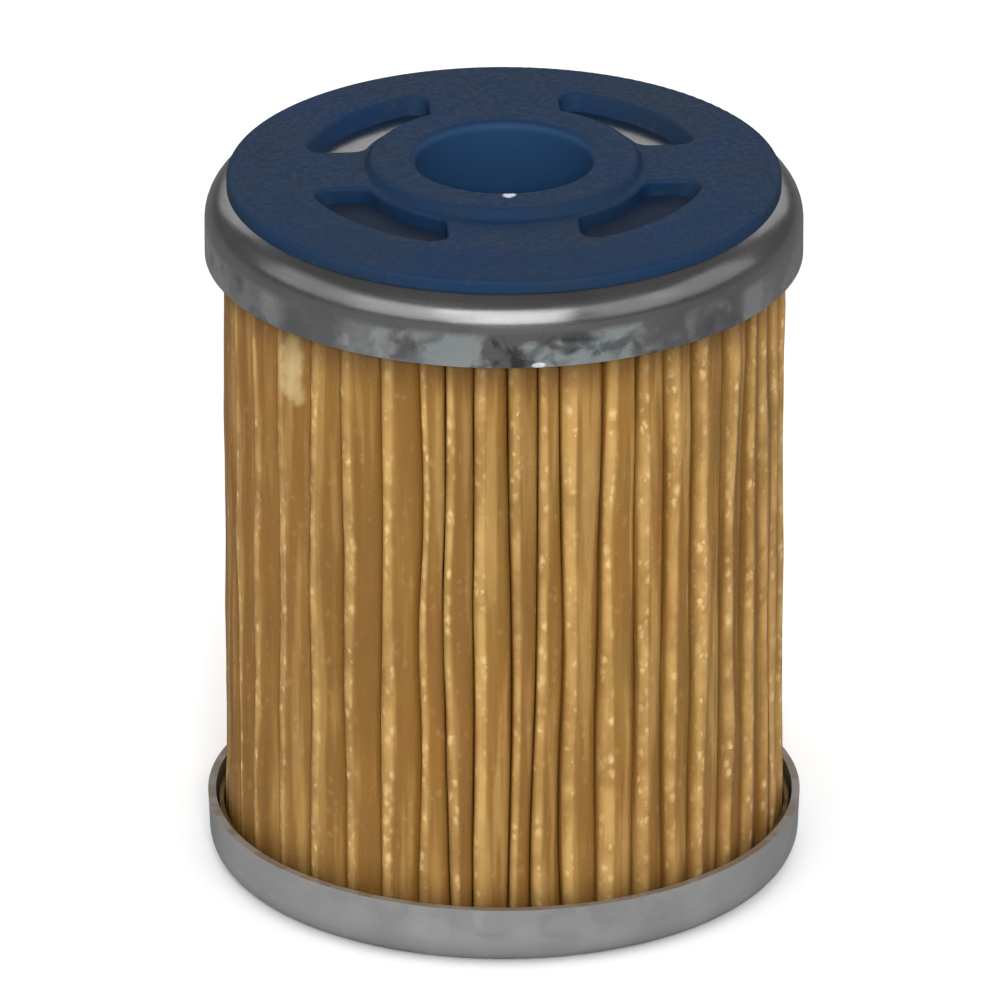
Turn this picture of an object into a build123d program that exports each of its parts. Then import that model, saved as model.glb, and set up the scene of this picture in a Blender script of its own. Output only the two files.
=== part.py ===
from build123d import *
from math import cos, radians, sin, sqrt
import os

# Cartridge oil filter for a small engine, in millimetres.
# The origin is the centre of the closed end's outer face; +Z runs up the filter's axis to the open end.

os.makedirs("parts", exist_ok=True)

# Overall sizes
cap_radius = 19.0
body_height = 46.2
cap_sheet = 0.5
fit_gap = 0.02

# Open end cap
top_skirt_height = 4.7
top_corner = 2.4
collar_depth = 2.2
collar_radius = 6.9
collar_bend = 0.4

# Closed end cap
bottom_skirt_height = 4.05
bottom_corner = 1.8
rim_flare = 0.18
boss_rise = 1.3
boss_bend = 0.3
port_radius = 3.5
port_lip_height = 0.5

# Perforated centre tube
tube_radius = 8.5
tube_sheet = 0.4
lock_seam_width = 2.4
lock_seam_height = 0.4
perforation_radius = 1.4
perforation_columns = 8
perforation_rows = 11
perforation_margin = 4.6
tube_clearance = 0.1

# Pleated paper
paper_radius = 18.0
paper_sheet = 0.4
pleat_count = 46
crest_gap = 0.1
root_gap = 0.2
seam_gap = 0.04
seam_angle = 90.0
seam_depth = 0.9

# Clip that grips the paper's two free edges
clip_sheet = 0.25
clip_depth = 3.2
clip_clearance = 0.03

# Adhesive beds that pot the paper in the end caps
bed_height = 1.0
bed_setback = 0.45

# Rubber end seal
seal_foot_radius = 17.6
seal_foot_depth = 0.4
seal_edge_height = 0.6
seal_edge_rounding = 0.3
seal_crown_radius = 13.9
seal_height = 1.05
seal_rounding = 0.5
lip_height = 0.65
lip_foot_radius = 8.9
lip_crown_radius = 8.4
lip_rounding = 0.4
bore_radius = 5.6
lead_in_radius = 0.6
lock_bead_radius = 7.3
lock_bead_height = 1.4
window_inner_radius = 9.3
window_floor_radius = 12.4
window_mouth_radius = 13.0
window_corner = 1.0
window_rounding = 0.25
window_turn = 3.5
window_count = 4
side_bridge_width = 6.0
end_bridge_width = 8.4

# Relief valve inside the closed end
cage_radius = 6.2
cage_sheet = 0.4
cage_height = 7.6
cage_bend = 0.9
cage_flange_radius = 7.3
cage_window_count = 3
cage_window_width = 7.4
cage_window_base = 1.0
cage_window_height = 5.0
guide_height = 0.7
guide_wall = 0.4
washer_thickness = 0.8
disc_thickness = 0.5
disc_rim_height = 0.5
disc_rim_wall = 0.35
disc_clearance = 0.5
stem_radius = 1.0
stem_running_clearance = 0.05
stem_head_radius = 2.6
stem_head_thickness = 0.45
stem_sleeve_radius = 1.6
stem_overhang = 1.2
seat_gap = 0.02
stop_gap = 0.05
valve_lift = 2.0
spring_wire = 0.5
spring_radius = 3.4
spring_turns = 4.0
spring_gap = 0.03

# Places worked out from the sizes above
top_inner_face = body_height - cap_sheet
boss_radius = tube_radius - tube_sheet - lock_seam_height - tube_clearance
boss_face = boss_rise + cap_sheet
seat_face = boss_face + port_lip_height
washer_bottom = seat_face + seat_gap
disc_bottom = washer_bottom + washer_thickness
disc_top = disc_bottom + disc_thickness
disc_radius = cage_radius - cage_sheet - disc_clearance
cage_crown = boss_face + cage_height
crown_underside = cage_crown - cage_sheet
sleeve_top = crown_underside - valve_lift - stop_gap
stem_top = cage_crown + guide_height + stem_overhang
paper_bottom = cap_sheet + bed_height
paper_top = top_inner_face - bed_height
seal_flat = body_height + seal_height
lip_top = seal_flat + lip_height


def ring_profile(*corners):
    """Half section in the XZ plane, from (radius, height, corner rounding) triples."""
    points = [(radius, height) for radius, height, rounding in corners]
    roundings = [rounding for radius, height, rounding in corners]
    with BuildSketch(Plane.XZ) as section:
        with BuildLine():
            FilletPolyline(*points, radius=roundings, close=True)
        make_face()
    return section.sketch


# --- Open end cap: a pressed cup whose centre hole is turned down as a collar ---
with BuildPart() as top_end_cap:
    top_skirt_edge = body_height - top_skirt_height
    collar_edge = body_height - collar_depth
    add(
        ring_profile(
            (cap_radius, top_skirt_edge, 0),
            (cap_radius, body_height, top_corner),
            (collar_radius, body_height, collar_bend),
            (collar_radius, collar_edge, 0),
            (collar_radius + cap_sheet, collar_edge, 0),
            (collar_radius + cap_sheet, top_inner_face, collar_bend / 2),
            (cap_radius - cap_sheet, top_inner_face, top_corner - cap_sheet),
            (cap_radius - cap_sheet, top_skirt_edge, 0),
        )
    )
    revolve(axis=Axis.Z)

top_end_cap.part.label = "top_end_cap"
export_step(top_end_cap.part, "parts/top_end_cap.step")


# --- Closed end cap: a cup with a raised boss, a centre port and a rolled-up valve seat ---
with BuildPart() as bottom_end_cap:
    wall_foot_radius = cap_radius - rim_flare
    boss_inner_radius = boss_radius - cap_sheet
    port_outer_radius = port_radius + cap_sheet
    add(
        ring_profile(
            (cap_radius, bottom_skirt_height, 0),
            (wall_foot_radius, 0, bottom_corner),
            (boss_inner_radius, 0, boss_bend + cap_sheet),
            (boss_inner_radius, boss_rise, boss_bend),
            (port_radius, boss_rise, boss_bend),
            (port_radius, seat_face, 0),
            (port_outer_radius, seat_face, 0),
            (port_outer_radius, boss_face, boss_bend / 2),
            (boss_radius, boss_face, boss_bend + cap_sheet),
            (boss_radius, cap_sheet, boss_bend),
            (wall_foot_radius - cap_sheet, cap_sheet, bottom_corner - cap_sheet),
            (cap_radius - cap_sheet, bottom_skirt_height, 0),
        )
    )
    revolve(axis=Axis.Z)

bottom_end_cap.part.label = "bottom_end_cap"
export_step(bottom_end_cap.part, "parts/bottom_end_cap.step")


# --- Rubber end seal, moulded on the open end cap, with four windows down to the steel ---
def window_outline(inner_radius, outer_radius, first_bridge, second_bridge):
    """One quarter of the ring between two bridges, with rounded corners."""
    with BuildSketch(Plane.XY) as outline:
        Circle(outer_radius)
        Circle(inner_radius, mode=Mode.SUBTRACT)
        with Locations((first_bridge / 2, second_bridge / 2)):
            Rectangle(outer_radius, outer_radius, align=(Align.MIN, Align.MIN), mode=Mode.INTERSECT)
        fillet(outline.vertices(), window_corner)
    return outline.sketch


with BuildPart() as end_seal:
    sleeve_radius = collar_radius - fit_gap
    sleeve_bottom = collar_edge - fit_gap - lock_bead_height
    add(
        ring_profile(
            (bore_radius, sleeve_bottom, 0),
            (bore_radius, lip_top, lead_in_radius),
            (lip_crown_radius, lip_top, lip_rounding),
            (lip_foot_radius, seal_flat, lip_rounding),
            (seal_crown_radius, seal_flat, seal_rounding),
            (seal_foot_radius, body_height + seal_edge_height, seal_edge_rounding),
            (seal_foot_radius, body_height - seal_foot_depth, 0),
            (sleeve_radius, body_height - seal_foot_depth, 0),
            (sleeve_radius, collar_edge - fit_gap, 0),
            (lock_bead_radius, collar_edge - fit_gap, 0),
            (lock_bead_radius, sleeve_bottom, lip_rounding),
        )
    )
    revolve(axis=Axis.Z)
    for quarter in range(window_count):
        turn = window_turn + quarter * 360 / window_count
        bridges = (end_bridge_width, side_bridge_width)[:: 1 - 2 * (quarter % 2)]
        with BuildSketch(Plane.XY.offset(body_height).rotated((0, 0, turn))):
            add(window_outline(window_inner_radius, window_floor_radius, *bridges))
        with BuildSketch(Plane.XY.offset(seal_flat).rotated((0, 0, turn))):
            add(window_outline(window_inner_radius, window_mouth_radius, *bridges))
        loft(mode=Mode.SUBTRACT)
    mouth_edges = end_seal.edges().filter_by_position(Axis.Z, seal_flat - fit_gap, seal_flat + fit_gap)
    fillet(mouth_edges.filter_by(lambda edge: not edge.is_closed), window_rounding)
    add(top_end_cap.part, mode=Mode.SUBTRACT)

end_seal.part.label = "end_seal"
export_step(end_seal.part, "parts/end_seal.step")


# --- Centre tube: perforated sheet rolled up and closed by a lock seam on its inner side ---
with BuildPart() as centre_tube:
    tube_inner_radius = tube_radius - tube_sheet
    tube_length = top_inner_face - cap_sheet
    with BuildSketch(Plane.XY.offset(cap_sheet)):
        Circle(tube_radius)
        Circle(tube_inner_radius, mode=Mode.SUBTRACT)
    extrude(amount=tube_length)
    with BuildSketch(Plane.XY.offset(cap_sheet)):
        with Locations((0, tube_radius - tube_sheet / 2)):
            Rectangle(
                lock_seam_width,
                lock_seam_height + tube_sheet / 2,
                align=(Align.CENTER, Align.MAX),
            )
    extrude(amount=tube_length)
    row_pitch = (tube_length - 2 * perforation_margin) / (perforation_rows - 1)
    column_pitch = 360 / perforation_columns
    for row in range(perforation_rows):
        row_height = cap_sheet + perforation_margin + row * row_pitch
        stagger = (row % 2) * column_pitch / 2
        for column in range(perforation_columns):
            direction = column * column_pitch + stagger
            if abs(direction - 90) < column_pitch / 4:
                continue
            outward = (cos(radians(direction)), sin(radians(direction)), 0)
            with Locations(Plane(origin=(0, 0, row_height), z_dir=outward)):
                Cylinder(
                    perforation_radius,
                    tube_radius + tube_sheet,
                    align=(Align.CENTER, Align.CENTER, Align.MIN),
                    mode=Mode.SUBTRACT,
                )

centre_tube.part.label = "centre_tube"
export_step(centre_tube.part, "parts/centre_tube.step")


# --- Pleated paper: one folded strip whose two free edges stand side by side at the seam ---
pleat_pitch = 360 / pleat_count
half_pitch_sine = sin(radians(pleat_pitch / 2))
paper_inner_radius = tube_radius + tube_clearance
crest_outer_bend = (paper_radius * half_pitch_sine - crest_gap / 2) / (1 + half_pitch_sine)
root_outer_bend = (paper_inner_radius * half_pitch_sine - root_gap / 2) / (1 - half_pitch_sine)
crest_bend = crest_outer_bend - paper_sheet / 2
root_bend = root_outer_bend - paper_sheet / 2
seam_bend = (paper_sheet + seam_gap) / 2
crest_centre_radius = paper_radius - crest_outer_bend
root_centre_radius = paper_inner_radius + root_outer_bend
seam_centre_radius = paper_radius - seam_depth


def spoke(angle):
    """Unit vector that points away from the axis at an angle."""
    return Vector(cos(radians(angle)), sin(radians(angle)))


def flank(crest_centre, crest_radius, root_centre, root_radius, side):
    """Ends of the straight run that is tangent to a crest's bend and a root's bend."""
    span = root_centre - crest_centre
    along = span.normalized()
    across = Vector(-along.Y, along.X) * side
    lean = (crest_radius + root_radius) / span.length
    normal = along * lean + across * sqrt(1 - lean**2)
    return crest_centre + normal * crest_radius, root_centre - normal * root_radius


def strip_face(face_side):
    """Draws one face of the folded strip, and returns its first and last points."""
    root_radius = root_bend - face_side * paper_sheet / 2
    ends = []
    for fold in range(pleat_count):
        root_angle = seam_angle + (fold + 0.5) * pleat_pitch
        root_centre = spoke(root_angle) * root_centre_radius
        flanks = []
        for side in (-1, 1):
            neighbour = fold if side < 0 else fold + 1
            at_seam = neighbour % pleat_count == 0
            bend = seam_bend if at_seam else crest_bend
            crest_radius = bend + face_side * paper_sheet / 2
            crest_spoke = spoke(seam_angle + neighbour * pleat_pitch)
            crest_centre = crest_spoke * (seam_centre_radius if at_seam else crest_centre_radius)
            flanks.append(flank(crest_centre, crest_radius, root_centre, root_radius, side))
            if at_seam:
                ends.append(flanks[-1][0])
        (down_start, down_end), (up_end, up_start) = flanks
        Line(down_start, down_end)
        ThreePointArc(down_end, root_centre - spoke(root_angle) * root_radius, up_start)
        Line(up_start, up_end)
        if not at_seam:
            crest_top = crest_centre + crest_spoke * crest_radius
            next_root = spoke(root_angle + pleat_pitch) * root_centre_radius
            next_start = flank(crest_centre, crest_radius, next_root, root_radius, -1)[0]
            ThreePointArc(up_end, crest_top, next_start)
    return ends


with BuildPart() as filter_paper:
    with BuildSketch(Plane.XY.offset(paper_bottom)):
        with BuildLine():
            outer_ends = strip_face(1)
            inner_ends = strip_face(-1)
            Line(outer_ends[0], inner_ends[0])
            Line(outer_ends[1], inner_ends[1])
        make_face()
    extrude(amount=paper_top - paper_bottom)

filter_paper.part.label = "filter_paper"
export_step(filter_paper.part, "parts/filter_paper.step")


# --- Seam clip: a folded strip that grips the paper's two free edges ---
with BuildPart() as seam_clip:
    clip_slot_width = 2 * paper_sheet + seam_gap + 2 * clip_clearance
    clip_width = clip_slot_width + 2 * clip_sheet
    clip_back = seam_centre_radius + clip_clearance + clip_sheet
    clip_plane = Plane(
        origin=(0, 0, paper_bottom), x_dir=spoke(seam_angle - 90), z_dir=(0, 0, 1)
    )
    flank_spread = clip_depth * (root_centre_radius * half_pitch_sine) / (
        seam_centre_radius - root_centre_radius
    )
    with BuildSketch(clip_plane):
        with BuildLine():
            Polyline(
                (clip_width / 2, clip_back),
                (clip_width / 2 + flank_spread, clip_back - clip_depth),
                (clip_slot_width / 2 + flank_spread, clip_back - clip_depth),
                (clip_slot_width / 2, clip_back - clip_sheet),
                (-clip_slot_width / 2, clip_back - clip_sheet),
                (-clip_slot_width / 2 - flank_spread, clip_back - clip_depth),
                (-clip_width / 2 - flank_spread, clip_back - clip_depth),
                (-clip_width / 2, clip_back),
                close=True,
            )
        make_face()
    extrude(amount=paper_top - paper_bottom)
    back_edges = seam_clip.edges().filter_by(Axis.Z).sort_by(Axis.Y)[-2:]
    fillet(back_edges, clip_sheet * 0.9)

seam_clip.part.label = "seam_clip"
export_step(seam_clip.part, "parts/seam_clip.step")


# --- Adhesive: a flat bed under the paper and a collar that fills the gap to the cap's wall ---
def adhesive_bed(floor_height, skirt_height, corner, rise):
    """Potting ring on a cap's inner face; rise is +1 on the closed cap and -1 on the open one."""
    wall_top = floor_height + rise * (skirt_height - cap_sheet - bed_setback)
    bed_top = floor_height + rise * bed_height
    corner_bend = corner - cap_sheet + fit_gap
    wall_radius = cap_radius - cap_sheet - fit_gap - rim_flare
    with BuildPart() as bed:
        add(
            ring_profile(
                (paper_inner_radius, floor_height, 0),
                (wall_radius, floor_height, corner_bend),
                (wall_radius, wall_top, 0),
                (paper_radius + fit_gap, wall_top, 0),
                (paper_radius + fit_gap, bed_top, 0),
                (paper_inner_radius, bed_top, 0),
            )
        )
        revolve(axis=Axis.Z)
    return bed.part


with BuildPart() as bottom_adhesive:
    add(adhesive_bed(cap_sheet, bottom_skirt_height, bottom_corner, 1))

bottom_adhesive.part.label = "bottom_adhesive"
export_step(bottom_adhesive.part, "parts/bottom_adhesive.step")

with BuildPart() as top_adhesive:
    add(adhesive_bed(top_inner_face, top_skirt_height, top_corner, -1))

top_adhesive.part.label = "top_adhesive"
export_step(top_adhesive.part, "parts/top_adhesive.step")


# --- Valve cage: a drawn cup, open at three windows, with a guide collar for the stem ---
with BuildPart() as valve_cage:
    guide_radius = stem_radius + stem_running_clearance
    add(
        ring_profile(
            (cage_flange_radius, boss_face, 0),
            (cage_flange_radius, boss_face + cage_sheet, 0),
            (cage_radius, boss_face + cage_sheet, cage_bend / 2),
            (cage_radius, cage_crown, cage_bend),
            (guide_radius + guide_wall, cage_crown, guide_wall / 2),
            (guide_radius + guide_wall, cage_crown + guide_height, 0),
            (guide_radius, cage_crown + guide_height, 0),
            (guide_radius, crown_underside, 0),
            (cage_radius - cage_sheet, crown_underside, cage_bend - cage_sheet),
            (cage_radius - cage_sheet, boss_face, 0),
        )
    )
    revolve(axis=Axis.Z)
    for window in range(cage_window_count):
        direction = 90 + window * 360 / cage_window_count
        outward = (cos(radians(direction)), sin(radians(direction)), 0)
        sill = boss_face + cage_window_base + cage_window_height / 2
        with BuildSketch(Plane(origin=(0, 0, sill), x_dir=(-outward[1], outward[0], 0), z_dir=outward)):
            RectangleRounded(cage_window_width, cage_window_height, cage_bend)
        extrude(amount=cage_flange_radius, mode=Mode.SUBTRACT)

valve_cage.part.label = "valve_cage"
export_step(valve_cage.part, "parts/valve_cage.step")


# --- Valve disc, washer and stem: they lift together off the port's seat ---
with BuildPart() as valve_washer:
    with BuildSketch(Plane.XY.offset(washer_bottom)):
        Circle(disc_radius)
        Circle(stem_radius + fit_gap, mode=Mode.SUBTRACT)
    extrude(amount=washer_thickness)

valve_washer.part.label = "valve_washer"
export_step(valve_washer.part, "parts/valve_washer.step")

with BuildPart() as valve_disc:
    rim_inner_radius = disc_radius - disc_rim_wall
    add(
        ring_profile(
            (stem_radius + fit_gap, disc_bottom, 0),
            (disc_radius, disc_bottom, disc_rim_wall / 2),
            (disc_radius, disc_top + disc_rim_height, 0),
            (rim_inner_radius, disc_top + disc_rim_height, 0),
            (rim_inner_radius, disc_top, disc_rim_wall / 2),
            (stem_radius + fit_gap, disc_top, 0),
        )
    )
    revolve(axis=Axis.Z)

valve_disc.part.label = "valve_disc"
export_step(valve_disc.part, "parts/valve_disc.step")

with BuildPart() as valve_stem:
    head_bottom = washer_bottom - stem_head_thickness
    add(
        ring_profile(
            (0, head_bottom, 0),
            (stem_head_radius, head_bottom, stem_head_thickness / 2),
            (stem_head_radius, washer_bottom, 0),
            (stem_radius, washer_bottom, 0),
            (stem_radius, disc_top, 0),
            (stem_sleeve_radius, disc_top, 0),
            (stem_sleeve_radius, sleeve_top, 0),
            (stem_radius, sleeve_top, 0),
            (stem_radius, stem_top, stem_radius / 3),
            (0, stem_top, 0),
        )
    )
    revolve(axis=Axis.Z)

valve_stem.part.label = "valve_stem"
export_step(valve_stem.part, "parts/valve_stem.step")


# --- Valve spring: a coil between the disc and the cage's crown ---
with BuildPart() as valve_spring:
    coil_bottom = disc_top + spring_gap + spring_wire / 2
    coil_height = crown_underside - spring_gap - spring_wire / 2 - coil_bottom
    with BuildLine():
        coil = Helix(
            pitch=coil_height / spring_turns,
            height=coil_height,
            radius=spring_radius,
            center=(0, 0, coil_bottom),
        )
    with BuildSketch(Plane(origin=coil @ 0, z_dir=coil % 0)):
        Circle(spring_wire / 2)
    sweep(is_frenet=True)

valve_spring.part.label = "valve_spring"
export_step(valve_spring.part, "parts/valve_spring.step")
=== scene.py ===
import bpy
import math
import numpy as np
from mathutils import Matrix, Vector


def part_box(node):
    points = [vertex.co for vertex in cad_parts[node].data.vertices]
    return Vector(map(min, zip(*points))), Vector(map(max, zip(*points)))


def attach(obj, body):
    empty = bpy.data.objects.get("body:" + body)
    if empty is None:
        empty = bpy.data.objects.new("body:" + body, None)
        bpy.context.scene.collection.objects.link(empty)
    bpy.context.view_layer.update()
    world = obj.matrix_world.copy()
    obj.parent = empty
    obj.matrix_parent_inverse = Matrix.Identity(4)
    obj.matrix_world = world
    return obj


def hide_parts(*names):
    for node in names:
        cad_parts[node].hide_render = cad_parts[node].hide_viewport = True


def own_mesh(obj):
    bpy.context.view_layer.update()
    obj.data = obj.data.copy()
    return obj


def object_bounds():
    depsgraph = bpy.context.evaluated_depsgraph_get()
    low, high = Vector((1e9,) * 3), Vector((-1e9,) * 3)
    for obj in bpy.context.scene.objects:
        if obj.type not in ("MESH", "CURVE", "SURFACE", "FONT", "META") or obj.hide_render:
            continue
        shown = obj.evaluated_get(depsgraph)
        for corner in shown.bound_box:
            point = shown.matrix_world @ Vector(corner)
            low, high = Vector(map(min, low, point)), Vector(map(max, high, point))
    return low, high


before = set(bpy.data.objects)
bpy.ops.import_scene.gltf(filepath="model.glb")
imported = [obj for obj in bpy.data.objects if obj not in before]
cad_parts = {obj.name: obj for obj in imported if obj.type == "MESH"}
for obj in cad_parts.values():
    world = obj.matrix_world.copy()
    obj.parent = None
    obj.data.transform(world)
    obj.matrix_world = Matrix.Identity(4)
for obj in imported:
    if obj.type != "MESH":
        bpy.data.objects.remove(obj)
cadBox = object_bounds()
mm = 0.001
print("frame loaded:", len(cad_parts), "nodes")


# small helpers
def makeMesh(name, points, faces, material, smooth=True):
    mesh = bpy.data.meshes.new(name)
    mesh.from_pydata([tuple(p) for p in points], [], [tuple(f) for f in faces])
    mesh.validate()
    mesh.shade_smooth() if smooth else mesh.shade_flat()
    mesh.materials.append(material)
    piece = bpy.data.objects.new(name, mesh)
    bpy.context.scene.collection.objects.link(piece)
    return piece


# quads over a rows by columns grid of points
def gridFaces(rows, columns, start=0, closed=False, flip=False):
    faces = []
    for row in range(rows - 1):
        for column in range(columns if closed else columns - 1):
            a = start + row * columns + column
            b = start + row * columns + (column + 1) % columns
            quad = (a, b, b + columns, a + columns)
            faces.append(quad[::-1] if flip else quad)
    return faces


# gives a CAD node its finish
def dress(nodeName, material):
    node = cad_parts[nodeName]
    node.data.materials.clear()
    node.data.materials.append(material)


# shader building
def addNode(tree, kind, inputs=None, **settings):
    node = tree.nodes.new(kind)
    for key, value in settings.items():
        setattr(node, key, value)
    for key, value in (inputs or {}).items():
        socket = node.inputs[key]
        if isinstance(value, bpy.types.NodeSocket):
            tree.links.new(value, socket)
        else:
            socket.default_value = value
    return node


def calc(tree, operation, first, second=0.0, clamp=False):
    node = addNode(tree, "ShaderNodeMath", {0: first, 1: second}, operation=operation, use_clamp=clamp)
    return node.outputs[0]


def times(tree, first, second):
    return calc(tree, "MULTIPLY", first, second)


def vectorCalc(tree, operation, first, second):
    return addNode(tree, "ShaderNodeVectorMath", {0: first, 1: second}, operation=operation).outputs[0]


def lengthOf(tree, vector):
    return addNode(tree, "ShaderNodeVectorMath", {0: vector}, operation="LENGTH").outputs["Value"]


def noise(tree, vector, scale, detail, **more):
    inputs = {"Vector": vector, "Scale": scale, "Detail": detail, **more}
    return addNode(tree, "ShaderNodeTexNoise", inputs).outputs


def remap(tree, value, low, high, toLow=0.0, toHigh=1.0):
    settings = {"Value": value, "From Min": low, "From Max": high, "To Min": toLow, "To Max": toHigh}
    return addNode(tree, "ShaderNodeMapRange", settings, interpolation_type="SMOOTHSTEP").outputs["Result"]


def mixValue(tree, factor, first, second):
    return addNode(tree, "ShaderNodeMix", {0: factor, 2: first, 3: second}).outputs[0]


def mixColour(tree, factor, first, second, blend="MIX"):
    node = addNode(tree, "ShaderNodeMix", data_type="RGBA", blend_type=blend)
    for socket, value in zip((node.inputs[0], node.inputs[6], node.inputs[7]), (factor, first, second)):
        if isinstance(value, bpy.types.NodeSocket):
            tree.links.new(value, socket)
        else:
            socket.default_value = value
    return node.outputs[2]


# an empty shader node group with named sockets; inputs are (name, kind, default)
def newGroup(name, inputs, outputs):
    group = bpy.data.node_groups.new(name, "ShaderNodeTree")
    for socketName, kind, default in inputs:
        socket = group.interface.new_socket(name=socketName, in_out="INPUT", socket_type=kind)
        if default is not None:
            socket.default_value = default
    for socketName, kind in outputs:
        group.interface.new_socket(name=socketName, in_out="OUTPUT", socket_type=kind)
    return group, group.nodes.new("NodeGroupInput"), group.nodes.new("NodeGroupOutput")


# fine even grain, such as moulded rubber or paper fibre, that can be drawn out along the axis
def grainGroup():
    inputs = [
        ("Vector", "NodeSocketVector", None),
        ("Scale", "NodeSocketFloat", 1500.0),
        ("Draw Out", "NodeSocketFloat", 1.0),
        ("Roughness", "NodeSocketFloat", 0.6),
    ]
    outputs = [("Value", "NodeSocketFloat"), ("Height", "NodeSocketFloat")]
    group, given, result = newGroup("surfaceGrain", inputs, outputs)
    squeeze = calc(group, "DIVIDE", 1.0, given.outputs["Draw Out"])
    along = addNode(group, "ShaderNodeCombineXYZ", {"X": 1.0, "Y": 1.0, "Z": squeeze}).outputs[0]
    placed = vectorCalc(group, "MULTIPLY", given.outputs["Vector"], along)
    fibres = noise(group, placed, given.outputs["Scale"], 4.0, Roughness=given.outputs["Roughness"])
    group.links.new(remap(group, fibres["Fac"], 0.3, 0.7), result.inputs["Value"])
    group.links.new(fibres["Fac"], result.inputs["Height"])
    return group


# soft-edged blotches: Coverage is about the share of the surface that they take
def stainGroup():
    inputs = [
        ("Vector", "NodeSocketVector", None),
        ("Scale", "NodeSocketFloat", 200.0),
        ("Coverage", "NodeSocketFloat", 0.4),
        ("Softness", "NodeSocketFloat", 0.1),
    ]
    group, given, result = newGroup("stains", inputs, [("Mask", "NodeSocketFloat")])
    warp = noise(group, given.outputs["Vector"], given.outputs["Scale"], 5.0, Distortion=0.6)
    edge = calc(group, "SUBTRACT", 0.72, times(group, given.outputs["Coverage"], 0.44))
    low = calc(group, "SUBTRACT", edge, given.outputs["Softness"])
    high = calc(group, "ADD", edge, given.outputs["Softness"])
    group.links.new(remap(group, warp["Fac"], low, high), result.inputs["Mask"])
    return group


# drawn and rolled sheet: faint rings round the axis, small dents and fine scratches
def rolledGroup():
    inputs = [
        ("Vector", "NodeSocketVector", None),
        ("Line Scale", "NodeSocketFloat", 2500.0),
        ("Dent Scale", "NodeSocketFloat", 260.0),
        ("Scratch Scale", "NodeSocketFloat", 700.0),
    ]
    outputs = [("Lines", "NodeSocketFloat"), ("Scratches", "NodeSocketFloat"), ("Height", "NodeSocketFloat")]
    group, given, result = newGroup("rolledSheet", inputs, outputs)
    vector = given.outputs["Vector"]
    across = vectorCalc(group, "MULTIPLY", vector, (0.06, 0.06, 1.0))
    lines = noise(group, across, given.outputs["Line Scale"], 3.0)["Fac"]
    dents = noise(group, vector, given.outputs["Dent Scale"], 2.0)["Fac"]
    bent = noise(group, vector, given.outputs["Scratch Scale"], 6.0, Distortion=1.5)["Fac"]
    ridge = calc(group, "ABSOLUTE", calc(group, "SUBTRACT", bent, 0.5))
    scratches = remap(group, ridge, 0.0, 0.012, 1.0, 0.0)
    height = calc(group, "ADD", dents, times(group, lines, 0.12))
    height = calc(group, "SUBTRACT", height, times(group, scratches, 0.05))
    group.links.new(remap(group, lines, 0.3, 0.7), result.inputs["Lines"])
    group.links.new(scratches, result.inputs["Scratches"])
    group.links.new(height, result.inputs["Height"])
    return group


# one worn or smeared place, given by its centre
def spotGroup():
    inputs = [
        ("Vector", "NodeSocketVector", None),
        ("Centre", "NodeSocketVector", None),
        ("Width", "NodeSocketFloat", 0.001),
        ("Height", "NodeSocketFloat", 0.001),
    ]
    group, given, result = newGroup("localSpot", inputs, [("Mask", "NodeSocketFloat")])
    vector = given.outputs["Vector"]
    wobble = calc(group, "SUBTRACT", noise(group, vector, 700.0, 3.0)["Fac"], 0.5)
    away = vectorCalc(group, "SUBTRACT", vector, given.outputs["Centre"])
    width, height = given.outputs["Width"], given.outputs["Height"]
    reach = addNode(group, "ShaderNodeCombineXYZ", {"X": width, "Y": width, "Z": height}).outputs[0]
    length = lengthOf(group, vectorCalc(group, "DIVIDE", away, reach))
    rough = calc(group, "ADD", length, times(group, wobble, 1.6))
    group.links.new(remap(group, rough, 1.0, 0.45), result.inputs["Mask"])
    return group


# round bright specks: Share is how many cells hold one, and Size its reach in cells
def speckGroup():
    inputs = [
        ("Vector", "NodeSocketVector", None),
        ("Scale", "NodeSocketFloat", 1400.0),
        ("Share", "NodeSocketFloat", 0.5),
        ("Size", "NodeSocketFloat", 0.3),
    ]
    group, given, result = newGroup("specks", inputs, [("Mask", "NodeSocketFloat")])
    rag = noise(group, given.outputs["Vector"], 2400.0, 3.0)["Color"]
    tear = addNode(group, "ShaderNodeVectorMath", {0: rag, "Scale": 0.0005}, operation="SCALE")
    torn = vectorCalc(group, "ADD", given.outputs["Vector"], tear.outputs[0])
    flat = vectorCalc(group, "MULTIPLY", torn, (1.0, 1.0, 0.7))
    cells = addNode(group, "ShaderNodeTexVoronoi", {"Vector": flat, "Scale": given.outputs["Scale"]})
    pick = addNode(group, "ShaderNodeSeparateColor", {"Color": cells.outputs["Color"]})
    size = times(group, given.outputs["Size"], calc(group, "ADD", pick.outputs["Green"], 0.35))
    depth = calc(group, "SUBTRACT", 1.0, calc(group, "DIVIDE", cells.outputs["Distance"], size), clamp=True)
    held = calc(group, "LESS_THAN", pick.outputs["Red"], given.outputs["Share"])
    group.links.new(times(group, remap(group, depth, 0.0, 0.95), held), result.inputs["Mask"])
    return group


groups = {
    "grain": grainGroup(),
    "stains": stainGroup(),
    "rolled": rolledGroup(),
    "spot": spotGroup(),
    "specks": speckGroup(),
}


def useGroup(tree, name, **inputs):
    node = addNode(tree, "ShaderNodeGroup", node_tree=groups[name])
    for key, value in inputs.items():
        socket = node.inputs[key.replace("_", " ")]
        if isinstance(value, bpy.types.NodeSocket):
            tree.links.new(value, socket)
        else:
            socket.default_value = value
    return node.outputs


def newMaterial(name, **constants):
    material = bpy.data.materials.new(name)
    material.use_nodes = True
    tree = material.node_tree
    shader = next(n for n in tree.nodes if n.type == "BSDF_PRINCIPLED")
    for key, value in constants.items():
        shader.inputs[key.replace("_", " ")].default_value = value
    place = addNode(tree, "ShaderNodeTexCoord").outputs["Object"]
    return material, tree, shader, place


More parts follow.
